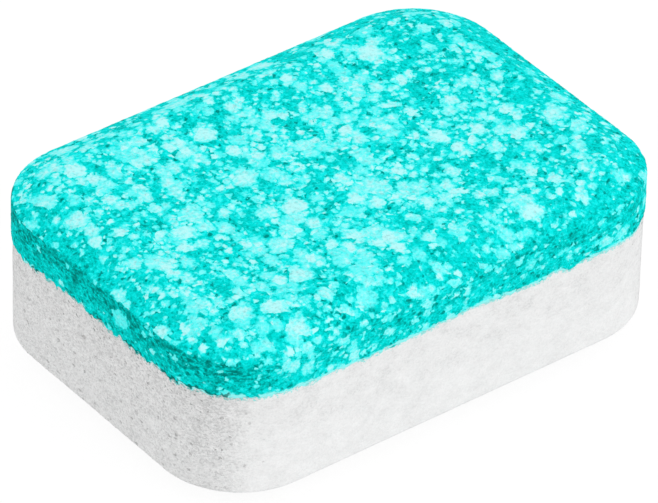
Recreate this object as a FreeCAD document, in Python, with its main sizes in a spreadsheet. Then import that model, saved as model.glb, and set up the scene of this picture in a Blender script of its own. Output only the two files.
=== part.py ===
"""Dishwasher tablet pressed in one die from two powders.

A rounded block lies on its flat underside: a white lower layer, and a turquoise upper layer that is
pressed onto it and stands a hair proud of it all round. Both punches leave a shallow bevel round
their face. Lengths are in millimetres, +X along the tablet, +Y across it and +Z up, with the origin
in the middle of the underside.
"""
import FreeCAD, Part
import math
import os
import Sketcher

# Driving dimensions: name, size and meaning.
SIZES = (
    ("tablet_length", 36.0, "upper layer from end to end"),
    ("tablet_width", 25.6, "upper layer from side to side"),
    ("corner_radius", 5.9, "upright corners of the upper layer"),
    ("layer_step", 0.1, "how far the upper layer stands proud of the lower one"),
    ("lower_wall_height", 7.35, "upright wall of the lower layer, corner to layer line"),
    ("upper_wall_height", 2.6, "upright wall of the upper layer, layer line to shoulder"),
    ("face_bevel_width", 2.5, "bevel round the top face, measured level"),
    ("face_bevel_height", 1.2, "bevel round the top face, measured upright"),
    ("shoulder_radius", 0.3, "worn edge between the upper wall and its bevel"),
    ("face_edge_radius", 2.0, "soft edge between the top face and its bevel"),
    ("base_bevel_width", 2.5, "bevel round the underside, measured level"),
    ("base_bevel_height", 1.3, "bevel round the underside, measured upright"),
    ("heel_radius", 0.4, "round edge between the lower wall and its bevel"),
    ("base_edge_radius", 2.0, "soft edge between the underside and its bevel"),
)

# Two heights closer than this are the same height.
SAME_HEIGHT = 1e-4


def make_sheet(doc):
    """Write each driving dimension into a row of the spreadsheet: its name, its size and its meaning."""
    sheet = doc.addObject("Spreadsheet::Sheet", "Sizes")
    for row, (name, size, meaning) in enumerate(SIZES, start=1):
        sheet.set(f"A{row}", name)
        sheet.set(f"B{row}", str(size))
        sheet.set(f"C{row}", meaning)
        sheet.setAlias(f"B{row}", name)
    doc.recompute()
    return sheet


def ground_plane(body):
    """The body's own level plane through its origin."""
    for feature in body.Origin.OriginFeatures:
        if feature.Role == "XY_Plane":
            return feature
    raise RuntimeError(f"{body.Label} has no level plane")


def draw_outline(sketch, length, width, radius):
    """Draw the tablet's outline: four straight sides joined by quarter circles, centred on the origin.

    The three sizes are expressions. The drawing starts as a rough outline, and its constraints then
    bring it to size.
    """
    half_x = 18.0
    half_y = 13.0
    bend = 6.0
    straights = (
        ((bend - half_x, -half_y), (half_x - bend, -half_y)),
        ((half_x, bend - half_y), (half_x, half_y - bend)),
        ((half_x - bend, half_y), (bend - half_x, half_y)),
        ((-half_x, half_y - bend), (-half_x, bend - half_y)),
    )
    sides = []
    for start, end in straights:
        line = Part.LineSegment(FreeCAD.Vector(*start, 0), FreeCAD.Vector(*end, 0))
        sides.append(sketch.addGeometry(line, False))
    middles = ((1, -1), (1, 1), (-1, 1), (-1, -1))
    corners = []
    for quarter, (sign_x, sign_y) in enumerate(middles):
        middle = FreeCAD.Vector(sign_x * (half_x - bend), sign_y * (half_y - bend), 0)
        circle = Part.Circle(middle, FreeCAD.Vector(0, 0, 1), bend)
        first = math.radians(90 * (quarter - 1))
        last = math.radians(90 * quarter)
        corners.append(sketch.addGeometry(Part.ArcOfCircle(circle, first, last), False))

    # Each side runs smoothly into the corner after it, and that corner into the next side.
    for index, corner in enumerate(corners):
        following = sides[(index + 1) % len(sides)]
        sketch.addConstraint(Sketcher.Constraint("Tangent", sides[index], 2, corner, 1))
        sketch.addConstraint(Sketcher.Constraint("Tangent", corner, 2, following, 1))
    front, right, back, left = sides
    sketch.addConstraint(Sketcher.Constraint("Horizontal", front))
    sketch.addConstraint(Sketcher.Constraint("Horizontal", back))
    sketch.addConstraint(Sketcher.Constraint("Vertical", right))
    sketch.addConstraint(Sketcher.Constraint("Vertical", left))
    for corner, following in zip(corners, corners[1:]):
        sketch.addConstraint(Sketcher.Constraint("Equal", corner, following))
    sketch.addConstraint(Sketcher.Constraint("Symmetric", corners[0], 3, corners[2], 3, -1, 1))
    named = (
        ("length", Sketcher.Constraint("DistanceX", left, 1, right, 1, 2 * half_x), length),
        ("width", Sketcher.Constraint("DistanceY", front, 1, back, 1, 2 * half_y), width),
        ("radius", Sketcher.Constraint("Radius", corners[0], bend), radius),
    )
    for name, constraint, expression in named:
        number = sketch.addConstraint(constraint)
        sketch.renameConstraint(number, name)
        sketch.setExpression(f"Constraints.{name}", expression)


def edges_at(feature, height):
    """Names of a feature's edges that lie level at this height above its body's origin."""
    names = []
    for number, edge in enumerate(feature.Shape.Edges, start=1):
        box = edge.BoundBox
        if abs(box.ZMin - height) < SAME_HEIGHT and abs(box.ZMax - height) < SAME_HEIGHT:
            names.append(f"Edge{number}")
    if not names:
        raise RuntimeError(f"{feature.Label} has no level edges at {height}")
    return names


def press_block(doc, name, length, width, radius, height):
    """A body with an upright block of the tablet's outline, from its origin up."""
    body = doc.addObject("PartDesign::Body", f"{name}_body")
    body.Label = name
    sketch = body.newObject("Sketcher::SketchObject", f"{name}_outline")
    sketch.AttachmentSupport = (ground_plane(body), [""])
    sketch.MapMode = "FlatFace"
    draw_outline(sketch, length, width, radius)
    block = body.newObject("PartDesign::Pad", f"{name}_block")
    block.Profile = sketch
    block.setExpression("Length", height)
    sketch.Visibility = False
    doc.recompute()
    return body, block


def bevel(doc, body, feature, name, rim_height, wide, high):
    """Bevel the rim at this height: the first size runs along the wall, the second along the face."""
    cut = body.newObject("PartDesign::Chamfer", name)
    cut.Base = (feature, edges_at(feature, rim_height))
    cut.ChamferType = "Two distances"
    cut.setExpression("Size", high)
    cut.setExpression("Size2", wide)
    doc.recompute()
    return cut


def soften(doc, body, feature, name, edge_height, radius):
    """Round the level edges at this height."""
    rounding = body.newObject("PartDesign::Fillet", name)
    rounding.Base = (feature, edges_at(feature, edge_height))
    rounding.setExpression("Radius", radius)
    doc.recompute()
    return rounding


def make_lower_layer(doc, sheet):
    """White layer: stands on the floor, bevelled and rounded round its underside, flat on top."""
    body, block = press_block(
        doc,
        "lower_layer",
        "Sizes.tablet_length - 2 * Sizes.layer_step",
        "Sizes.tablet_width - 2 * Sizes.layer_step",
        "Sizes.corner_radius - Sizes.layer_step",
        "Sizes.base_bevel_height + Sizes.lower_wall_height",
    )
    underside = 0.0
    heel = sheet.base_bevel_height
    wide = "Sizes.base_bevel_width"
    high = "Sizes.base_bevel_height"
    cut = bevel(doc, body, block, "base_bevel", underside, wide, high)
    rounded = soften(doc, body, cut, "heel_rounding", heel, "Sizes.heel_radius")
    soften(doc, body, rounded, "base_edge_rounding", underside, "Sizes.base_edge_radius")
    return body


def make_upper_layer(doc, sheet):
    """Turquoise layer: lies on the lower one, with a bevel round its top face."""
    body, block = press_block(
        doc,
        "upper_layer",
        "Sizes.tablet_length",
        "Sizes.tablet_width",
        "Sizes.corner_radius",
        "Sizes.upper_wall_height + Sizes.face_bevel_height",
    )
    body.setExpression("Placement.Base.z", "Sizes.base_bevel_height + Sizes.lower_wall_height")
    shoulder = sheet.upper_wall_height
    face = sheet.upper_wall_height + sheet.face_bevel_height
    wide = "Sizes.face_bevel_width"
    high = "Sizes.face_bevel_height"
    cut = bevel(doc, body, block, "face_bevel", face, wide, high)
    rounded = soften(doc, body, cut, "shoulder_rounding", shoulder, "Sizes.shoulder_radius")
    soften(doc, body, rounded, "face_edge_rounding", face, "Sizes.face_edge_radius")
    return body


def check(doc, bodies):
    """Stop if a feature failed or a layer isn't one valid solid."""
    for item in doc.Objects:
        if "Invalid" in item.State or "Error" in item.State:
            raise RuntimeError(f"{item.Label} failed: {item.State}")
    for body in bodies:
        if body.Shape.isNull() or not body.Shape.isValid() or len(body.Shape.Solids) != 1:
            raise RuntimeError(f"{body.Label} isn't one valid solid")


def main():
    doc = FreeCAD.newDocument("dishwasher_tablet")
    sheet = make_sheet(doc)
    bodies = [make_lower_layer(doc, sheet), make_upper_layer(doc, sheet)]
    doc.recompute()
    check(doc, bodies)
    os.makedirs("parts", exist_ok=True)
    for body in bodies:
        body.Shape.exportStep(f"parts/{body.Label}.step")
        print(body.Label, "volume", round(body.Shape.Volume, 1), "mm3, box", body.Shape.BoundBox)


main()
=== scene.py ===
"""Looks of a pressed dishwasher tablet: white powder below, turquoise granulate above.

Both layers are rebuilt as fine surfaces over their solids' own sizes. The surfaces carry the relief
of the pressed grains, and the wavering line where the two powders meet. Lengths are in millimetres
until a surface is put into its mesh, which is in metres.
"""

import math

import bpy
import numpy as np
from mathutils import Matrix, Vector


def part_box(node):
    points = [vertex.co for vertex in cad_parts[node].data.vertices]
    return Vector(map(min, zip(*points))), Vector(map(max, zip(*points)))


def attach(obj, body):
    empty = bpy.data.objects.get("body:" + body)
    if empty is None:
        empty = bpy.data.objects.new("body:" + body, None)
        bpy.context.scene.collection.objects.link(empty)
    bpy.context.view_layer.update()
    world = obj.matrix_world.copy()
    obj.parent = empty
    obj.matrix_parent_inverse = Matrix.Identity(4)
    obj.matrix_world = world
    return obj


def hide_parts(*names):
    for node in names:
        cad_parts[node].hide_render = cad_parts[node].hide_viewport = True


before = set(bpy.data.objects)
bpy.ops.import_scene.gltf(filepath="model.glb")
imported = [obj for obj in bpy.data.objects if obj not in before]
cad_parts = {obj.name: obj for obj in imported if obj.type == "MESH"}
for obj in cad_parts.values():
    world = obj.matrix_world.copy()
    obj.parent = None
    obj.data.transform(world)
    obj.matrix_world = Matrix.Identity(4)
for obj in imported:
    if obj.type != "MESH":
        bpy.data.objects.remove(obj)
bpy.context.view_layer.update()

MM = 0.001

# Sizes of the solids that their boxes don't give.
CORNER_RADIUS = 5.9
FACE_BEVEL_WIDTH = 2.5
FACE_BEVEL_HEIGHT = 1.2
SHOULDER_RADIUS = 0.3
BASE_BEVEL_WIDTH = 2.5
BASE_BEVEL_HEIGHT = 1.3
HEEL_RADIUS = 0.4

# Half the height over which a bevel eases into its flat face.
FACE_EDGE_BLEND = 0.35

# The granulate's lower lip: its height, and how far the wall turns in along it.
LIP_HEIGHT = 0.28
LIP_DEPTH = 0.10

# How far the lip's edge lies below the solids' line, and how much it falls per millimetre along.
LINE_DROP = 0.28
LINE_FALL = 0.009

# Grains are pressed flat, so they are this many times wider than high.
FLATTENING = 1.25

# Sizes of the grains in the relief, and of the cells that hold the powder's pits.
COARSE_GRAIN = 0.55
FINE_GRAIN = 0.26
POWDER_GRAIN = 0.30
PIT_CELL = 0.95

# Sizes of the grains in the colours, and of the cells that hold dark specks and dark crumbs, which are
# partly painted shade of small crevices.
GROUND_GRAIN = 0.34
GROUND_FINE_GRAIN = 0.15
WHITE_GRAIN = 0.13
SPECK_CELL = 0.38
CRUMB_SHADE_CELL = 0.26

# Depth of the finest relief, which is left to the materials.
GRANULATE_BUMP = 0.03
POWDER_BUMP = 0.075

# Cells along and across each layer's face, and rows down its wall.
UPPER_CELLS = (308, 216)
UPPER_WALL_ROWS = 20
LOWER_CELLS = (280, 196)
LOWER_WALL_ROWS = 40

# How much of a dry, dull surface's gloss is left.
GLOSS = 0.012

# Colours as screen values. A row of stops gives each colour's place on a scale from 0 to 1.
GROUND_STOPS = (
    (0.03, (0, 169, 162)),
    (0.20, (0, 202, 195)),
    (0.40, (0, 220, 213)),
    (0.58, (3, 232, 228)),
    (0.76, (22, 243, 240)),
    (0.95, (56, 250, 248)),
)
FLAKE_STOPS = (
    (0.12, (49, 245, 243)),
    (0.38, (87, 251, 249)),
    (0.66, (128, 253, 252)),
    (0.98, (184, 253, 253)),
)
POWDER_STOPS = (
    (0.05, (217, 217, 217)),
    (0.35, (235, 235, 235)),
    (0.55, (241, 241, 241)),
    (0.95, (251, 251, 251)),
)
# Dark granulate, and painted shade on the near end, which faces away from the lamp.
SMUDGE_AND_SHADE_TEAL = (0, 132, 124)
SPECK_TEAL = (0, 116, 107)
# Dark crumbs, partly painted shade of small crevices along the layer line.
CRUMB_SHADE_TEAL = (0, 90, 82)
RIM_CHALK = (150, 250, 248)
SHADOW = (0, 0, 0)
SIDE_DUST = (130, 244, 240)
END_DUST = (20, 196, 188)
# Painted grey shade in the powder's pits.
PIT_SHADE_GREY = (174, 173, 171)
# Grey crumbs, partly painted shade of small crevices along the layer line.
CRUMB_SHADE_GREY = (120, 126, 122)

# Pale flakes: size, share kept on the face and on the wall, radius, softness, turn and stretch.
FLAKES = (
    (0.32, 0.20, 0.11, 0.54, 0.24, 100.0, 1.05),
    (0.56, 0.35, 0.20, 0.55, 0.20, 40.0, 1.10),
    (1.00, 0.39, 0.20, 0.56, 0.15, 80.0, 1.10),
    (1.60, 0.20, 0.08, 0.53, 0.11, 10.0, 1.05),
)

# Pits in the powder with painted grey shade in them: size of their cells, share kept, radius and
# darkness.
PITS = (
    (0.45, 0.22, 0.21, 0.42),
    (0.95, 0.12, 0.13, 0.60),
)

# Light, in metres and watts: pale surroundings and one soft lamp, and the floor that looks white.
SURROUNDINGS = 0.93
LAMP_TOWARDS = (0.23, -0.71, 0.66)
LAMP_DISTANCE = 0.45
LAMP_SIZE = 0.25
LAMP_ENERGY = 0.22
FLOOR_HALF = 3.0
FLOOR_SHADE = 0.95
FLOOR_GLOW = 1.03
FLOOR_GLOW_SHARE = 0.88

# Camera, worked out from the tablet's outline in the photograph.
PHOTO_WIDTH = 658
CAMERA_AZIMUTH = -38.333
CAMERA_ELEVATION = 36.898
CAMERA_ROLL = 1.451
CAMERA_DISTANCE = 498.9
CAMERA_FOCAL_PIXELS = 8028.1
CAMERA_ASIDE = (0.022, -0.340)
CAMERA_CLIP = (0.01, 10.0)
SENSOR_WIDTH = 36.0


def srgb(red, green, blue):
    """A colour given as screen values from 0 to 255, as the linear values that a material takes."""
    screen = np.array((red, green, blue)) / 255.0
    linear = np.where(screen <= 0.04045, screen / 12.92, ((screen + 0.055) / 1.055) ** 2.4)
    return (*(float(value) for value in linear), 1.0)


# Noise on whole arrays of points


def lattice_random(cells, seed):
    """One random number from 0 to 1 for each whole-number cell, from its place and a seed."""
    mixed = cells[..., 0] * 374761393 + cells[..., 1] * 668265263 + cells[..., 2] * 1440662683
    mixed = (mixed + seed * 974634777) & 0xFFFFFFFF
    mixed = ((mixed ^ (mixed >> 13)) * 1274126177) & 0xFFFFFFFF
    mixed = ((mixed ^ (mixed >> 16)) * 2246822519) & 0xFFFFFFFF
    return (mixed ^ (mixed >> 15)) / 0xFFFFFFFF


def soft_noise(points, size, seed):
    """Smooth noise from -1 to 1: random numbers at the corners of cubes, blended by a smooth step."""
    scaled = points / size
    cell = np.floor(scaled).astype(np.int64)
    part = scaled - cell
    blend = part * part * (3 - 2 * part)
    total = np.zeros(len(points))
    for corner in np.ndindex(2, 2, 2):
        share = np.prod(np.where(np.array(corner) == 1, blend, 1 - blend), axis=-1)
        total += share * lattice_random(cell + np.array(corner), seed)
    return 2 * total - 1


def packed_grains(points, size, seed):
    """Grains packed at random, with one centre somewhere in each cube of this size.

    Gives, for each point, the way to the nearest centre and to the next one, both in cube sizes, and
    the nearest grain's own random number.
    """
    scaled = points / size
    cell = np.floor(scaled).astype(np.int64)
    nearest = np.full(len(points), 9.0)
    second = np.full(len(points), 9.0)
    own = np.zeros(len(points))
    for step in np.ndindex(3, 3, 3):
        home = cell + np.array(step) - 1
        jitter = np.stack([lattice_random(home, seed + axis) for axis in range(3)], axis=-1)
        gap = np.linalg.norm(scaled - home - jitter, axis=-1)
        closer = gap < nearest
        second = np.where(closer, nearest, np.minimum(second, gap))
        own = np.where(closer, lattice_random(home, seed + 3), own)
        nearest = np.minimum(nearest, gap)
    return nearest, second, own


def smooth_step(low, high, value):
    """0 below low, 1 above high, and p * p * (3 - 2 * p) at a part p of the way between them."""
    part = np.clip((value - low) / (high - low), 0, 1)
    return part * part * (3 - 2 * part)


def plateau(start, end, slope, value):
    """1 between start and end and 0 outside, with smooth slopes of this length inside both."""
    return smooth_step(start, start + slope, value) * (1 - smooth_step(end - slope, end, value))


# Shape of the layers


def rounded_plan(cells, half_x, half_y, radius):
    """A grid of level points that fills a rounded rectangle.

    Outside the corner squares the grid is even. In a corner square, of the radius's size, a point at
    shares a and b of the square moves to a * sqrt(1 - b * b / 2) and b * sqrt(1 - a * a / 2), which
    turns the square into a quarter disc.
    """
    x, y = np.meshgrid(
        np.linspace(-half_x, half_x, cells[0] + 1),
        np.linspace(-half_y, half_y, cells[1] + 1),
        indexing="ij",
    )
    a = np.clip((np.abs(x) - half_x + radius) / radius, 0, 1)
    b = np.clip((np.abs(y) - half_y + radius) / radius, 0, 1)
    bent_x = np.sign(x) * (half_x - radius + radius * a * np.sqrt(1 - b * b / 2))
    bent_y = np.sign(y) * (half_y - radius + radius * b * np.sqrt(1 - a * a / 2))
    return np.where(a > 0, bent_x, x), np.where(b > 0, bent_y, y)


def inset_from(x, y, half_x, half_y, radius):
    """How far inside a rounded rectangle's outline a level point lies.

    With the ways past the middle of the nearest corner's circle, along and across: the radius, less
    their joint length where both are positive, and else less the larger of the two.
    """
    past_x = np.abs(x) - (half_x - radius)
    past_y = np.abs(y) - (half_y - radius)
    outside = np.hypot(np.maximum(past_x, 0), np.maximum(past_y, 0))
    return radius - outside - np.minimum(np.maximum(past_x, past_y), 0)


def bevel_arc(radius, tilt, count):
    """Rounding between a bevel and an upright wall, from the bevel to the wall.

    The bevel rises inwards at this tilt. A point at a turn t from the wall has an inset of
    radius * (1 - cos t) and a height of lift + radius * sin t above the edge where wall and bevel
    would meet. The lift is the height at which the arc's last point touches the bevel.
    """
    turn = np.linspace(math.pi / 2 - tilt, 0, count)
    lift = radius * ((1 - math.sin(tilt)) * math.tan(tilt) - math.cos(tilt))
    return radius * (1 - np.cos(turn)), lift + radius * np.sin(turn)


def layer_line(x, y):
    """How far the line between the powders lies above the solids' own line.

    A sum of a slight fall along the tablet, waves of four lengths and, here and there, a small
    ledge. The short waves are stronger at the ends than along the sides. The side in front has a low
    hump in its middle, two sags beyond it and a smaller hump. The near end is high at its front,
    sags in its middle and is low at its back.
    """
    flat = np.stack([x, y, np.zeros_like(x)], axis=-1).reshape(-1, 3)
    along, across = flat[:, 0], flat[:, 1]
    end = smooth_step(15.5, 17.6, np.abs(along))
    waves = 0.09 * soft_noise(flat, 3.4, 11) + 0.06 * soft_noise(flat, 1.2, 12)
    waves += (0.05 + 0.07 * end) * soft_noise(flat, 0.50, 13)
    waves += (0.04 + 0.12 * end) * soft_noise(flat, 0.26, 14)
    waves += (0.10 + 0.08 * end) * (smooth_step(0.10, 0.22, soft_noise(flat, 1.6, 15)) - 0.4)
    front = 0.26 * plateau(-2.4, 3.2, 1.2, along) + 0.14 * plateau(9.7, 11.2, 0.5, along)
    front -= 0.16 * plateau(5.0, 7.9, 1.0, along) + 0.22 * plateau(8.1, 9.6, 0.6, along)
    near = 0.24 * smooth_step(4.8, 6.0, -across) + 0.14 * plateau(0.8, 5.0, 0.5, across)
    near -= 0.20 * plateau(-1.6, 1.0, 0.5, across) + 0.24 * smooth_step(5.0, 5.8, across)
    waves += front * smooth_step(9.0, 12.0, -across) + near * smooth_step(14.8, 16.6, -along)
    return waves.reshape(np.shape(x)) - LINE_FALL * x - LINE_DROP


def wall_mesh(name, plan, cells, insets, heights, follows, half_sizes, radius, cap_height, cap_up):
    """A closed surface: a face on a grid, a wall carried round the face's border, and a hidden end.

    A wall row lies inside the outline by its inset, at its height plus the part of the layer line's
    waves that it follows. The last row closes onto one point in the middle.
    """
    x, y = plan
    cap = np.stack([x, y, cap_height], axis=-1).reshape(-1, 3)
    number = np.arange(len(cap)).reshape(cells[0] + 1, cells[1] + 1)
    border = np.concatenate([number[:-1, 0], number[-1, :-1], number[:0:-1, -1], number[0, :0:-1]])
    edge = cap[border]
    half_x, half_y = half_sizes
    corner = np.sign(edge[:, :2]) * (np.array((half_x, half_y)) - radius)
    past = np.maximum(np.abs(edge[:, :2]) - np.abs(corner), 0) * np.sign(edge[:, :2])
    outward = past / np.linalg.norm(past, axis=1, keepdims=True)
    base = np.where(past != 0, corner, edge[:, :2]) + outward * radius
    rows = base[None] - outward[None] * insets[:, None, None]
    level = heights[:, None] + follows[:, None] * layer_line(rows[..., 0], rows[..., 1])
    walls = np.concatenate([rows, level[..., None]], axis=-1)
    count = len(border)
    middle = np.array([[0, 0, walls[-1, :, 2].mean()]])
    points = np.concatenate([cap, walls.reshape(-1, 3), middle])

    added = len(cap) + np.arange(len(insets) * count).reshape(-1, count)
    rings = np.concatenate([border[None], added])
    following = np.roll(rings, -1, axis=1)
    face_corners = (number[:-1, :-1], number[1:, :-1], number[1:, 1:], number[:-1, 1:])
    face_quads = np.stack(face_corners, axis=-1)
    wall_quads = np.stack([rings[:-1], rings[1:], following[1:], following[:-1]], axis=-1)
    quads = np.concatenate([face_quads.reshape(-1, 4), wall_quads.reshape(-1, 4)])
    last = np.full(count, len(points) - 1)
    fan = np.stack([rings[-1], last, following[-1]], axis=-1)
    if not cap_up:
        quads = quads[:, ::-1]
        fan = fan[:, ::-1]

    mesh = bpy.data.meshes.new(name)
    mesh.vertices.add(len(points))
    mesh.vertices.foreach_set("co", points.ravel())
    corners = np.concatenate([quads.ravel(), fan.ravel()])
    mesh.loops.add(len(corners))
    mesh.loops.foreach_set("vertex_index", corners)
    starts = np.concatenate([np.arange(len(quads)) * 4, len(quads) * 4 + np.arange(len(fan)) * 3])
    mesh.polygons.add(len(starts))
    mesh.polygons.foreach_set("loop_start", starts)
    mesh.polygons.foreach_set("use_smooth", np.ones(len(starts), dtype=bool))
    mesh.update(calc_edges=True)
    return mesh, points


def normals_of(mesh):
    """Each point's outward direction."""
    normals = np.empty(len(mesh.vertices) * 3)
    mesh.vertices.foreach_get("normal", normals)
    return normals.reshape(-1, 3)


def finish_piece(mesh, points, values, material):
    """Put the points into the mesh in metres, store the values that its material reads, show it."""
    mesh.vertices.foreach_set("co", (points * MM).ravel())
    for label, numbers in values.items():
        store = mesh.attributes.new(label, "FLOAT", "POINT")
        store.data.foreach_set("value", numbers.astype(np.float32))
    mesh.update()
    mesh.materials.append(material)
    piece = bpy.data.objects.new(mesh.name, mesh)
    bpy.context.scene.collection.objects.link(piece)
    return piece


def squeezed(points):
    """Points in the grains' own space, where the flattened grains are round."""
    return points * np.array((1.0, 1.0, FLATTENING))


def upper_relief(points, wall, above_line):
    """Depth of the granulate's surface, as a sum.

    Each coarse and each fine grain has a level of its own, and there is a crack where a point is
    about as far from the next grain's centre as from its own. A few fine grains are lost, the whole
    face waves slowly, and the wall has crumbled just above the layer line. The face is pressed
    smooth by its punch, so the wall is about three times as rough.
    """
    space = squeezed(points)
    shift = np.stack([soft_noise(space, 0.35, seed) for seed in (21, 22, 23)], axis=-1)
    near, far, own = packed_grains(space + 0.10 * shift, COARSE_GRAIN, 31)
    fine_near, fine_far, fine_own = packed_grains(space + 0.05 * shift, FINE_GRAIN, 41)
    crack = 1 - smooth_step(0.02, 0.20, far - near)
    fine_crack = 1 - smooth_step(0.03, 0.25, fine_far - fine_near)
    lost = smooth_step(0.972, 0.985, fine_own) * (1 - smooth_step(0.25, 0.55, fine_near))
    face_depth = 0.010 * own + 0.006 * crack + 0.004 * fine_own + 0.002 * fine_crack + 0.035 * lost
    wall_depth = 0.022 * own + 0.025 * crack + 0.014 * fine_own + 0.012 * fine_crack + 0.11 * lost
    depth = face_depth + wall * (wall_depth - face_depth)
    depth += 0.02 * (0.5 + 0.5 * soft_noise(space, 4.0, 24))
    crumbled = smooth_step(-0.1, 0.5, soft_noise(space, 0.34, 25))
    crumbled = crumbled * (1 - smooth_step(0.0, 0.40, above_line))
    return depth + 0.10 * crumbled * wall


def paleness_of(points, normals, wall, edge, half_x):
    """How many pale flakes lie about a point, with about 1 as the mean of the face.

    They gather in patches of two sizes, thin out slowly towards the far end and on the bevel, and
    are few on the near end's bevel and wall.
    """
    patches = 0.30 * soft_noise(points, 2.6, 1528) + 0.45 * soft_noise(points, 1.15, 1254)
    near_end = smooth_step(half_x - 2.0, half_x - 0.8, -points[:, 0])
    end_wall = wall * smooth_step(0.0, 0.8, -normals[:, 0])
    on_bevel = (1 - smooth_step(1.8, 3.2, edge)) * (1 - wall)
    whole = 1.04 + patches - 0.012 * points[:, 0] - 0.35 * on_bevel - 0.52 * near_end * (1 - wall)
    return np.clip(whole, 0, 2) * (1 - 0.88 * end_wall)


def rim_of(points, normals, above_line):
    """How chalky the edge along the layer line is, from 0 to 1.

    It is about a third of a millimetre wide, almost unbroken along the sides and in pieces at the
    ends.
    """
    width = 0.36 + 0.12 * soft_noise(points, 0.45, 28) + 0.16 * soft_noise(points, 1.3, 30)
    along_side = 1 - smooth_step(0.35, 0.8, np.abs(normals[:, 0]))
    pieces = 0.5 + 0.6 * soft_noise(points, 0.6, 29) - 0.25 + 0.55 * along_side
    return smooth_step(0.35, 0.55, pieces) * (1 - smooth_step(0.4, 1.1, above_line / width))


def crumb_shade_of(points, normals, way):
    """Share of dark crumbs about the layer line, partly painted shade of small crevices, by the way to
    it: at the ends, in patches.

    They are thickest at the near end's front corner.
    """
    end = smooth_step(0.25, 0.75, np.abs(normals[:, 0]))
    patches = 0.6 * soft_noise(points, 1.1, 54) + 0.5 * soft_noise(points, 0.5, 55)
    patch = smooth_step(0.04, 0.22, patches)
    corner = np.exp(-((points[:, 0] + 17.5) ** 2 + (points[:, 1] + 8.4) ** 2) / 2.3**2)
    return np.clip(end * patch + corner, 0, 1) * (1 - smooth_step(0.0, 1.0, way))


def smudge_and_shade_of(normals, wall, above_line):
    """How much dark granulate shows, with painted shade on the near end's bevel and wall, which face
    away from the lamp: little on the face, most high on the near end's wall.
    """
    height = smooth_step(0.9, 1.9, above_line)
    end = smooth_step(0.0, 0.8, -normals[:, 0]) + 0.2 * smooth_step(0.5, 1.0, normals[:, 0])
    near_bevel = smooth_step(0.15, 0.4, -normals[:, 0]) * (1 - wall)
    return 0.12 + 0.06 * near_bevel + wall * (0.08 + 0.12 * height + end * (0.20 + 0.48 * height))


def make_upper_layer(box, material):
    """Turquoise layer: face and bevel on a grid, then the shoulder, the wall and its lower lip.

    The grid's height is the lower one of the face and the bevel's slope. Where the two are closer
    than the blend, it is lowered by a quarter of the blend times the square of the closeness, from
    0 to 1. The wall's rows crowd together downwards, and the lip turns in as the square of the way
    down it.
    """
    half_x, half_y, top = box[1]
    line = box[0][2]
    tilt = math.atan2(FACE_BEVEL_HEIGHT, FACE_BEVEL_WIDTH)
    shoulder = top - FACE_BEVEL_HEIGHT
    arc_insets, arc_heights = bevel_arc(SHOULDER_RADIUS, tilt, 5)
    inner = arc_insets[0]
    plan = rounded_plan(UPPER_CELLS, half_x - inner, half_y - inner, CORNER_RADIUS - inner)
    inset = inset_from(*plan, half_x, half_y, CORNER_RADIUS)
    bevel = shoulder + inset * math.tan(tilt)
    blend = np.maximum(FACE_EDGE_BLEND - np.abs(bevel - top), 0) / FACE_EDGE_BLEND
    height = np.minimum(bevel, top) - blend * blend * FACE_EDGE_BLEND / 4

    wall_top = shoulder + arc_heights[-1]
    wall_low = line + LIP_HEIGHT
    wall_heights = wall_low + (wall_top - wall_low) * np.linspace(1, 0, UPPER_WALL_ROWS)[1:] ** 1.6
    part = np.linspace(0, 1, 5)[1:]
    insets = np.concatenate([arc_insets[1:], np.zeros(len(wall_heights)), LIP_DEPTH * part**2, [1.0]])
    lip_heights = wall_low - LIP_HEIGHT * part
    heights = np.concatenate([shoulder + arc_heights[1:], wall_heights, lip_heights, [line]])
    follows = np.clip((wall_top - heights) / (wall_top - wall_low), 0, 1) ** 1.5
    mesh, points = wall_mesh(
        "granulate_layer", plan, UPPER_CELLS, insets, heights, follows,
        (half_x, half_y), CORNER_RADIUS, height, cap_up=True,
    )
    edge = inset_from(points[:, 0], points[:, 1], half_x, half_y, CORNER_RADIUS)
    wall = 1 - smooth_step(0.0, 0.22, edge)
    above = points[:, 2] - line - layer_line(points[:, 0], points[:, 1])
    hidden = (points[:, 2] < line + 0.5) & (edge > 0.3)
    normals = normals_of(mesh)
    depth = upper_relief(points, wall, above)
    depth[hidden] = 0
    points = points - normals * depth[:, None]
    values = {
        "wall": wall,
        "paleness": paleness_of(points, normals, wall, edge, half_x),
        "rim": rim_of(points, normals, above),
        # dark granulate, with painted shade on the near end's bevel and wall
        "smudge_and_shade": smudge_and_shade_of(normals, wall, above),
        # dark crumbs, partly painted shade of small crevices
        "crumb_shade": crumb_shade_of(points, normals, above / 0.7) * wall,
    }
    return finish_piece(mesh, points, values, material)


def lower_relief(points, roughness):
    """Depth of the white powder's surface, as a sum of each grain's level, waves and a few pits."""
    own = packed_grains(points, POWDER_GRAIN, 51)[2]
    pit_way, _, pit_own = packed_grains(points, PIT_CELL, 61)
    pit = (1 - smooth_step(0.10, 0.26, pit_way)) * (pit_own < 0.35 * roughness**2)
    fine = 0.020 * own + 0.016 * (0.5 + 0.5 * soft_noise(points, 0.6, 52))
    return roughness * (fine + 0.09 * pit) + 0.03 * (0.5 + 0.5 * soft_noise(points, 5.0, 53))


def powder_painted_shade(points, normals, below):
    """How light the powder is beyond its mean, as painted shade.

    It darkens towards the layer line, under the granulate's lip, and on the near end's front corner,
    where less of the lamp's light falls.
    """
    near_corner = smooth_step(0.5, 0.75, -normals[:, 0])
    near_corner = near_corner * (1 - smooth_step(0.9, 0.99, -normals[:, 0]))
    climb = smooth_step(0.0, 7.5, below) - 0.5
    return 0.22 * climb - 0.12 * near_corner * (points[:, 1] < 0)


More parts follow.
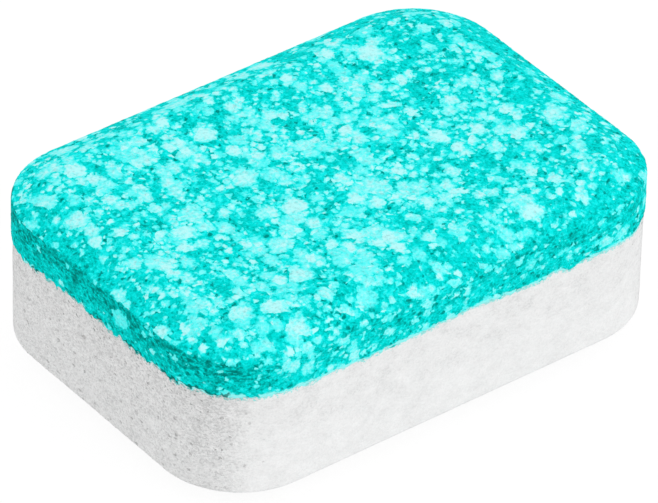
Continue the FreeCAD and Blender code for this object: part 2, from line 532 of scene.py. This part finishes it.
def make_lower_layer(box, upper_box, material):
    """White layer: underside and bevel on a grid, then the heel, the wall and the hidden top.

    The grid's height is the higher one of the underside and the bevel's slope, eased as the upper
    layer's is. The wall runs on a little way behind the upper layer's lip, so that no gap shows
    under it.
    """
    half_x, half_y, line = box[1]
    radius = CORNER_RADIUS - (upper_box[1][0] - half_x)
    tilt = math.atan2(BASE_BEVEL_HEIGHT, BASE_BEVEL_WIDTH)
    arc_insets, arc_heights = bevel_arc(HEEL_RADIUS, tilt, 6)
    inner = arc_insets[0]
    plan = rounded_plan(LOWER_CELLS, half_x - inner, half_y - inner, radius - inner)
    inset = inset_from(*plan, half_x, half_y, radius)
    bevel = BASE_BEVEL_HEIGHT - inset * math.tan(tilt)
    blend = np.maximum(FACE_EDGE_BLEND - np.abs(bevel), 0) / FACE_EDGE_BLEND
    height = np.maximum(bevel, 0) + blend * blend * FACE_EDGE_BLEND / 4

    wall_low = BASE_BEVEL_HEIGHT - arc_heights[-1]
    behind_lip = line + 0.5 * LIP_HEIGHT
    wall_heights = np.append(np.linspace(wall_low, line, LOWER_WALL_ROWS)[1:], behind_lip)
    insets = np.concatenate([arc_insets[1:], np.zeros(len(wall_heights)), [1.0]])
    heights = np.concatenate([BASE_BEVEL_HEIGHT - arc_heights[1:], wall_heights, [behind_lip]])
    follows = np.clip((heights - wall_low) / (line - wall_low), 0, 1) ** 3
    mesh, points = wall_mesh(
        "powder_layer", plan, LOWER_CELLS, insets, heights, follows,
        (half_x, half_y), radius, height, cap_up=False,
    )
    normals = normals_of(mesh)
    roughness = 0.34 + 0.66 * smooth_step(0.40, 0.85, np.abs(normals[:, 0]))
    depth = lower_relief(points, roughness)
    edge = inset_from(points[:, 0], points[:, 1], half_x, half_y, radius)
    hidden = (points[:, 2] > line - 0.5) & (edge > 0.3)
    resting = points[:, 2] < 0.02
    depth[hidden] = 0
    depth[resting] *= 0.3
    points = points - normals * depth[:, None]
    below = line + layer_line(points[:, 0], points[:, 1]) - points[:, 2]
    values = {
        "roughness": roughness,
        # grey crumbs, partly painted shade of small crevices
        "crumb_shade": crumb_shade_of(points, normals, below / 1.9),
        "line_way": np.clip(below, 0, 1),
        # painted shade towards the layer line and on the near end's front corner
        "tone": powder_painted_shade(points, normals, below),
    }
    return finish_piece(mesh, points, values, material)


# Materials


def place(tree, kind, inputs=None, **settings):
    """Add a node. An input given as a socket is linked, and any other value is set."""
    node = tree.nodes.new(kind)
    for label, value in settings.items():
        setattr(node, label, value)
    for label, value in (inputs or {}).items():
        if isinstance(value, bpy.types.NodeSocket):
            tree.links.new(value, node.inputs[label])
        else:
            node.inputs[label].default_value = value
    return node


def sums(tree, operation, first, second=0.0, third=0.0, clamp=False):
    """One calculation with numbers or sockets."""
    node = place(tree, "ShaderNodeMath", {0: first, 1: second, 2: third}, operation=operation)
    node.use_clamp = clamp
    return node.outputs[0]


def vector_sum(tree, operation, inputs):
    """One calculation with vectors."""
    return place(tree, "ShaderNodeVectorMath", inputs, operation=operation).outputs[0]


def rise(tree, value, low, high):
    """0 below low, 1 above high and a smooth rise between, on a socket."""
    inputs = {"Value": value, "From Min": low, "From Max": high, "To Min": 0.0, "To Max": 1.0}
    return place(tree, "ShaderNodeMapRange", inputs, interpolation_type="SMOOTHSTEP").outputs["Result"]


def blend_colours(tree, share, first, second):
    """The first colour, and the second one where the share is 1."""
    inputs = {0: share, 6: first, 7: second}
    return place(tree, "ShaderNodeMix", inputs, data_type="RGBA").outputs[2]


def ramp(tree, value, stops):
    """A colour read from a row of stops, each with its place and its screen colour."""
    node = place(tree, "ShaderNodeValToRGB", {"Fac": value})
    while len(node.color_ramp.elements) < len(stops):
        node.color_ramp.elements.new(1.0)
    for element, (where, colour) in zip(node.color_ramp.elements, stops):
        element.position = where
        element.color = srgb(*colour)
    return node.outputs["Color"]


def noise(tree, vector, size, detail=2.0, roughness=0.5):
    """Blender's noise with waves about this size in millimetres."""
    inputs = {"Vector": vector, "Scale": 1 / size, "Detail": detail, "Roughness": roughness}
    return place(tree, "ShaderNodeTexNoise", inputs)


def new_group(label, takes, gives):
    """A shader node group with named inputs and outputs, as (tree, input node, output node)."""
    tree = bpy.data.node_groups.new(label, "ShaderNodeTree")
    for name, kind, value in takes:
        socket = tree.interface.new_socket(name=name, in_out="INPUT", socket_type=kind)
        if value is not None:
            socket.default_value = value
    for name, kind in gives:
        tree.interface.new_socket(name=name, in_out="OUTPUT", socket_type=kind)
    return tree, tree.nodes.new("NodeGroupInput"), tree.nodes.new("NodeGroupOutput")


def make_ragged_space():
    """Object place in millimetres with the grains' flattening taken out and their edges frayed."""
    takes = (("Fray", "NodeSocketFloat", 0.12), ("Fine Fray", "NodeSocketFloat", 0.05))
    gives = (("Vector", "NodeSocketVector"), ("Ragged", "NodeSocketVector"))
    tree, start, end = new_group("ragged_space", takes, gives)
    place_in = tree.nodes.new("ShaderNodeTexCoord").outputs["Object"]
    scale = (1 / MM, 1 / MM, FLATTENING / MM)
    smooth = place(tree, "ShaderNodeMapping", {"Vector": place_in, "Scale": scale}).outputs["Vector"]
    ragged = smooth
    for size, amount in ((0.40, start.outputs["Fray"]), (0.13, start.outputs["Fine Fray"])):
        colour = noise(tree, smooth, size, 1.0).outputs["Color"]
        centred = vector_sum(tree, "SUBTRACT", {0: colour, 1: (0.5, 0.5, 0.5)})
        reach = sums(tree, "MULTIPLY", amount, 4.0)
        moved = vector_sum(tree, "SCALE", {0: centred, "Scale": reach})
        ragged = vector_sum(tree, "ADD", {0: ragged, 1: moved})
    tree.links.new(smooth, end.inputs["Vector"])
    tree.links.new(ragged, end.inputs["Ragged"])
    return tree


def make_scattered_grains():
    """Grains of one size, of which only a share is kept.

    Each grain has its own random tone. A kept grain fills its cell out to a radius in cell sizes,
    which noise frays, and its depth grows from 0 at its edge to 1 in its middle.
    """
    takes = (
        ("Vector", "NodeSocketVector", None),
        ("Size", "NodeSocketFloat", 1.0),
        ("Share", "NodeSocketFloat", 0.3),
        ("Radius", "NodeSocketFloat", 0.5),
        ("Softness", "NodeSocketFloat", 0.05),
        ("Fray", "NodeSocketFloat", 0.0),
    )
    gives = (("Mask", "NodeSocketFloat"), ("Tone", "NodeSocketFloat"), ("Depth", "NodeSocketFloat"))
    tree, start, end = new_group("scattered_grains", takes, gives)
    take = start.outputs
    inputs = {"Vector": take["Vector"], "Scale": sums(tree, "DIVIDE", 1.0, take["Size"])}
    cells = place(tree, "ShaderNodeTexVoronoi", inputs, voronoi_dimensions="3D", feature="F1")
    draws = place(tree, "ShaderNodeSeparateColor", {"Color": cells.outputs["Color"]}).outputs
    kept = sums(tree, "LESS_THAN", draws["Red"], take["Share"])
    finer = sums(tree, "DIVIDE", 3.2, take["Size"])
    waves = place(tree, "ShaderNodeTexNoise", {"Vector": take["Vector"], "Scale": finer, "Detail": 2.0})
    frayed = sums(tree, "MULTIPLY", sums(tree, "SUBTRACT", waves.outputs["Fac"], 0.5), take["Fray"])
    way = sums(tree, "ADD", cells.outputs["Distance"], frayed)
    depth = sums(tree, "SUBTRACT", take["Radius"], way)
    under = sums(tree, "MULTIPLY", take["Softness"], -1.0)
    inside = rise(tree, depth, under, take["Softness"])
    tree.links.new(sums(tree, "MULTIPLY", kept, inside), end.inputs["Mask"])
    tree.links.new(draws["Green"], end.inputs["Tone"])
    share = sums(tree, "DIVIDE", depth, take["Radius"], clamp=True)
    tree.links.new(sums(tree, "MULTIPLY", kept, share), end.inputs["Depth"])
    return tree


def use_group(tree, group, inputs=None):
    """Place a node group, with its inputs set or linked, and give its outputs."""
    return place(tree, "ShaderNodeGroup", inputs, node_tree=group).outputs


def stored(tree, label):
    """A value that the piece's mesh holds at its points."""
    return place(tree, "ShaderNodeAttribute", attribute_name=label).outputs["Fac"]


def new_material(label, roughness):
    """A material with its shader node, as (material, tree, shader)."""
    material = bpy.data.materials.new(label)
    material.use_nodes = True
    tree = material.node_tree
    shader = tree.nodes["Principled BSDF"]
    shader.inputs["Roughness"].default_value = roughness
    shader.inputs["Specular IOR Level"].default_value = GLOSS
    return material, tree, shader


def add_bump(tree, shader, height, depth):
    """Shade a material by a height from 0 to 1, as relief of this depth in millimetres."""
    inputs = {"Strength": 1.0, "Distance": depth * MM, "Height": height}
    bump = place(tree, "ShaderNodeBump", inputs)
    tree.links.new(bump.outputs["Normal"], shader.inputs["Normal"])


def turned(tree, vector, angle, stretch, step):
    """A vector turned about Z, drawn out and moved, so that one pattern can serve several times."""
    inputs = {
        "Vector": vector,
        "Location": (step, 2.3 * step, 0.7 * step),
        "Rotation": (0.0, 0.0, math.radians(angle)),
        "Scale": (stretch, 1 / stretch, 1.0),
    }
    return place(tree, "ShaderNodeMapping", inputs, vector_type="TEXTURE").outputs["Vector"]


def make_granulate(ragged_space, scattered_grains):
    """Turquoise granulate: teal grains, dark smudges and specks, and pale flakes in patches. The
    smudges are partly painted shade on the near end.

    Small shadows lie over them, and dark crumbs, partly painted shade of small crevices, and a chalky
    edge along the layer line.
    """
    material, tree, shader = new_material("turquoise_granulate", 0.9)
    space = use_group(tree, ragged_space, {"Fray": 0.11, "Fine Fray": 0.03})
    vector = space["Ragged"]
    wall = stored(tree, "wall")
    paleness = stored(tree, "paleness")
    # Dark granulate, with painted shade on the near end's bevel and wall.
    darkness = stored(tree, "smudge_and_shade")
    fray = noise(tree, space["Vector"], 0.22, 2.0, 0.5).outputs["Fac"]
    fray = sums(tree, "SUBTRACT", fray, 0.5)

    every = {"Vector": vector, "Share": 1.0}
    coarse = use_group(tree, scattered_grains, {"Size": GROUND_GRAIN, **every})
    fine = use_group(tree, scattered_grains, {"Size": GROUND_FINE_GRAIN, **every})
    cloud = noise(tree, space["Vector"], 0.9, 2.0).outputs["Fac"]
    tone = sums(tree, "MULTIPLY", fine["Tone"], 0.50)
    tone = sums(tree, "MULTIPLY_ADD", coarse["Tone"], 0.33, tone)
    tone = sums(tree, "MULTIPLY_ADD", sums(tree, "SUBTRACT", cloud, 0.5), 0.9, tone)
    # The ground is darker where there is dark granulate and painted shade.
    tone = sums(tree, "MULTIPLY_ADD", darkness, -0.32, sums(tree, "ADD", tone, 0.125))
    tone = sums(tree, "MULTIPLY_ADD", fray, 0.9, tone)
    colour = ramp(tree, tone, GROUND_STOPS)

    # Dark smudges and specks, most of them on the wall. The smudges on the near end's bevel and wall
    # are partly painted shade, as these face away from the lamp.
    flat = place(tree, "ShaderNodeMapping", {"Vector": space["Vector"], "Scale": (1.0, 1.0, 1.8)})
    cloud = noise(tree, flat.outputs["Vector"], 0.60, 3.0, 0.65).outputs["Fac"]
    smudge_and_shade = sums(tree, "MULTIPLY", rise(tree, cloud, 0.48, 0.64), darkness)
    colour = blend_colours(tree, smudge_and_shade, colour, srgb(*SMUDGE_AND_SHADE_TEAL))
    speck = use_group(tree, scattered_grains, {
        "Vector": turned(tree, vector, 35.0, 1.25, 1.9),
        "Size": SPECK_CELL,
        "Share": sums(tree, "MULTIPLY_ADD", darkness, 0.48, 0.08),
        "Radius": 0.38,
        "Softness": 0.14,
        "Fray": 0.5,
    })
    dark = sums(tree, "MULTIPLY", speck["Mask"], 0.75)
    colour = blend_colours(tree, dark, colour, srgb(*SPECK_TEAL))

    # Pale flakes. The larger ones are chalkier, and so is the middle of each.
    chalk = 0.0
    for index, flake in enumerate(FLAKES):
        size, on_face, on_wall, radius, softness, angle, stretch = flake
        share = sums(tree, "MULTIPLY_ADD", wall, on_wall - on_face, on_face)
        grain = use_group(tree, scattered_grains, {
            "Vector": turned(tree, vector, angle, stretch, 3.7 * index),
            "Size": size,
            "Share": sums(tree, "MULTIPLY", share, paleness),
            "Radius": radius,
            "Softness": softness,
            "Fray": 0.62,
        })
        strength = sums(tree, "MULTIPLY_ADD", grain["Tone"], min(0.55, 0.25 + 0.6 * size), 0.28)
        strength = sums(tree, "MULTIPLY_ADD", grain["Depth"], 0.35, strength)
        strength = sums(tree, "MULTIPLY", strength, sums(tree, "MULTIPLY_ADD", wall, -0.20, 1.0))
        chalk = sums(tree, "MAXIMUM", chalk, sums(tree, "MULTIPLY", grain["Mask"], strength))
    shade = sums(tree, "MULTIPLY_ADD", sums(tree, "SUBTRACT", fine["Tone"], 0.5), 0.20, chalk)
    shade = sums(tree, "MULTIPLY_ADD", fray, 0.8, shade)
    pale = rise(tree, chalk, 0.0, 0.30)
    colour = blend_colours(tree, pale, colour, ramp(tree, shade, FLAKE_STOPS))

    # Small shadows on grains and flakes alike, weaker on the flakes.
    veil = noise(tree, space["Vector"], 0.24, 3.0, 0.7).outputs["Fac"]
    veil = sums(tree, "SUBTRACT", veil, 0.50, clamp=True)
    veil = sums(tree, "MULTIPLY", veil, sums(tree, "MULTIPLY_ADD", pale, -0.5, 1.8))
    colour = blend_colours(tree, veil, colour, srgb(*SHADOW))

    # Dark crumbs, partly painted shade of small crevices, and the chalky edge along the layer line.
    crumb_shade_spot = rise(tree, sums(tree, "MULTIPLY_ADD", fray, 1.6, stored(tree, "crumb_shade")), 0.35, 0.70)
    colour = blend_colours(tree, sums(tree, "MULTIPLY", crumb_shade_spot, 0.85), colour, srgb(*CRUMB_SHADE_TEAL))
    edge = sums(tree, "MULTIPLY_ADD", fray, 0.9, stored(tree, "rim"))
    colour = blend_colours(tree, rise(tree, edge, 0.15, 0.75), colour, srgb(*RIM_CHALK))
    tree.links.new(colour, shader.inputs["Base Color"])

    height = sums(tree, "MULTIPLY_ADD", coarse["Depth"], 0.5, fray)
    height = sums(tree, "MULTIPLY", height, sums(tree, "MULTIPLY_ADD", wall, 0.8, 0.35))
    add_bump(tree, shader, height, GRANULATE_BUMP)
    return material


def make_powder(ragged_space, scattered_grains):
    """White powder: near white, with faint clouds, light and dark grains and small pits with painted
    grey shade in them. It has painted shade towards the layer line and on the near end's front corner.

    Teal dust and a few dark crumbs, partly painted shade of small crevices, lie along the layer line.
    """
    material, tree, shader = new_material("white_powder", 0.95)
    space = use_group(tree, ragged_space, {"Fray": 0.05, "Fine Fray": 0.03})
    vector = space["Ragged"]
    side = stored(tree, "roughness")
    every = {"Vector": vector, "Share": 1.0}
    grains = use_group(tree, scattered_grains, {"Size": WHITE_GRAIN, **every})
    cloud = noise(tree, space["Vector"], 1.1, 4.0, 0.65).outputs["Fac"]
    rough = noise(tree, space["Vector"], 0.17, 4.0, 0.7).outputs["Fac"]
    rough = sums(tree, "SUBTRACT", rough, 0.5)
    grain_tone = sums(tree, "SUBTRACT", grains["Tone"], 0.5)
    tone = sums(tree, "MULTIPLY_ADD", rough, 1.1, sums(tree, "MULTIPLY", grain_tone, 0.8))
    tone = sums(tree, "MULTIPLY", side, tone)
    clouds = sums(tree, "MULTIPLY_ADD", sums(tree, "SUBTRACT", cloud, 0.5), 0.9, 0.5)
    # The stored tone is painted shade towards the layer line and on the near end's front corner.
    tone = sums(tree, "ADD", sums(tree, "ADD", tone, clouds), stored(tree, "tone"))
    colour = ramp(tree, tone, POWDER_STOPS)

    # Teal dust and grains along the layer line.
    dust = noise(tree, space["Vector"], 0.20, 3.0, 0.7).outputs["Fac"]
    dust = sums(tree, "MULTIPLY_ADD", dust, 1.3, -0.63)
    dust = rise(tree, sums(tree, "SUBTRACT", dust, stored(tree, "line_way")), -0.05, 0.09)
    teal = blend_colours(tree, side, srgb(*SIDE_DUST), srgb(*END_DUST))
    colour = blend_colours(tree, sums(tree, "MULTIPLY", dust, 0.75), colour, teal)

    # Pits with painted grey shade in them, most of them on the ends.
    few = sums(tree, "POWER", side, 2.5)
    pits = 0.0
    for size, share, radius, darkness in PITS:
        pit = use_group(tree, scattered_grains, {
            "Vector": turned(tree, vector, 90.0, 1.2, 5.3 * size),
            "Size": size,
            "Share": sums(tree, "MULTIPLY", few, share),
            "Radius": radius,
            "Softness": 0.08,
            "Fray": 0.4,
        })
        dark = sums(tree, "MULTIPLY", pit["Mask"], darkness)
        colour = blend_colours(tree, dark, colour, srgb(*PIT_SHADE_GREY))
        pits = sums(tree, "MAXIMUM", pits, pit["Mask"])

    # Grey crumbs, partly painted shade of small crevices along the layer line.
    crumb_shade_spot = use_group(tree, scattered_grains, {
        "Vector": turned(tree, vector, 75.0, 1.0, 9.1),
        "Size": CRUMB_SHADE_CELL,
        "Share": sums(tree, "MULTIPLY", stored(tree, "crumb_shade"), 0.55),
        "Radius": 0.34,
        "Softness": 0.14,
        "Fray": 0.5,
    })
    dark = sums(tree, "MULTIPLY", crumb_shade_spot["Mask"], 0.65)
    colour = blend_colours(tree, dark, colour, srgb(*CRUMB_SHADE_GREY))
    tree.links.new(colour, shader.inputs["Base Color"])

    height = sums(tree, "MULTIPLY_ADD", grains["Depth"], 0.4, sums(tree, "MULTIPLY", rough, 1.6))
    height = sums(tree, "MULTIPLY_ADD", pits, -1.2, height)
    height = sums(tree, "MULTIPLY", height, side)
    add_bump(tree, shader, height, POWDER_BUMP)
    return material


# Floor, light and camera


def make_floor():
    """Pale floor that looks white from above and still shows the tablet's soft shadow."""
    half = FLOOR_HALF
    corners = [(-half, -half, 0), (half, -half, 0), (half, half, 0), (-half, half, 0)]
    mesh = bpy.data.meshes.new("floor")
    mesh.from_pydata(corners, [], [(0, 1, 2, 3)])
    floor = bpy.data.objects.new("floor", mesh)
    bpy.context.scene.collection.objects.link(floor)
    material, tree, shader = new_material("pale_floor", 1.0)
    shader.inputs["Base Color"].default_value = (FLOOR_SHADE, FLOOR_SHADE, FLOOR_SHADE, 1.0)
    glow = place(tree, "ShaderNodeEmission", {"Color": (1, 1, 1, 1), "Strength": FLOOR_GLOW})
    seen = tree.nodes.new("ShaderNodeLightPath").outputs["Is Camera Ray"]
    seen = sums(tree, "MULTIPLY", seen, FLOOR_GLOW_SHARE)
    mixed = place(tree, "ShaderNodeMixShader", {"Fac": seen})
    tree.links.new(shader.outputs[0], mixed.inputs[1])
    tree.links.new(glow.outputs[0], mixed.inputs[2])
    tree.links.new(mixed.outputs[0], tree.nodes["Material Output"].inputs["Surface"])
    mesh.materials.append(material)


def make_light():
    """Even pale surroundings, and one large soft lamp in front, to the right and above."""
    world = bpy.data.worlds.new("surroundings")
    bpy.context.scene.world = world
    world.use_nodes = True
    tree = world.node_tree
    path = tree.nodes.new("ShaderNodeLightPath").outputs
    direct = sums(tree, "MAXIMUM", path["Is Camera Ray"], path["Is Glossy Ray"])
    direct = sums(tree, "MAXIMUM", direct, path["Is Transmission Ray"])
    strength = sums(tree, "MULTIPLY_ADD", direct, 1.0 - SURROUNDINGS, SURROUNDINGS)
    tree.nodes["Background"].inputs["Color"].default_value = (1, 1, 1, 1)
    tree.links.new(strength, tree.nodes["Background"].inputs["Strength"])

    towards = Vector(LAMP_TOWARDS).normalized()
    lamp = bpy.data.lights.new("softbox", "AREA")
    lamp.shape = "DISK"
    lamp.size = LAMP_SIZE
    lamp.energy = LAMP_ENERGY
    holder = bpy.data.objects.new("softbox", lamp)
    holder.location = towards * LAMP_DISTANCE
    holder.rotation_euler = towards.to_track_quat("Z", "Y").to_euler()
    bpy.context.scene.collection.objects.link(holder)


def make_camera(middle_height):
    """Camera at the photograph's place, rolled a little as the photograph is."""
    azimuth = math.radians(CAMERA_AZIMUTH)
    elevation = math.radians(CAMERA_ELEVATION)
    roll = math.radians(CAMERA_ROLL)
    back = Vector((
        math.sin(azimuth) * math.cos(elevation),
        -math.cos(azimuth) * math.cos(elevation),
        math.sin(elevation),
    ))
    right = Vector((0, 0, 1)).cross(back).normalized()
    up = back.cross(right)
    turned_right = right * math.cos(roll) + up * math.sin(roll)
    turned_up = up * math.cos(roll) - right * math.sin(roll)
    place_mm = Vector((0, 0, middle_height)) + back * CAMERA_DISTANCE
    place_mm += turned_right * CAMERA_ASIDE[0] + turned_up * CAMERA_ASIDE[1]
    camera = bpy.data.cameras.new("camera")
    camera.sensor_width = SENSOR_WIDTH
    camera.lens = CAMERA_FOCAL_PIXELS * SENSOR_WIDTH / PHOTO_WIDTH
    camera.clip_start, camera.clip_end = CAMERA_CLIP
    holder = bpy.data.objects.new("camera", camera)
    axes = Matrix((turned_right, turned_up, back)).transposed().to_4x4()
    holder.matrix_world = Matrix.Translation(place_mm * MM) @ axes
    bpy.context.scene.collection.objects.link(holder)
    bpy.context.scene.camera = holder


bpy.context.scene.view_settings.view_transform = "Standard"

upper_box = [[value / MM for value in corner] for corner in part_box("upper_layer")]
lower_box = [[value / MM for value in corner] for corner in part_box("lower_layer")]

ragged = make_ragged_space()
scattered = make_scattered_grains()

upper = make_upper_layer(upper_box, make_granulate(ragged, scattered))
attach(upper, "root")
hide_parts("upper_layer")

lower = make_lower_layer(lower_box, upper_box, make_powder(ragged, scattered))
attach(lower, "root")
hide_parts("lower_layer")

make_floor()
make_light()
make_camera((lower_box[0][2] + upper_box[1][2]) / 2)
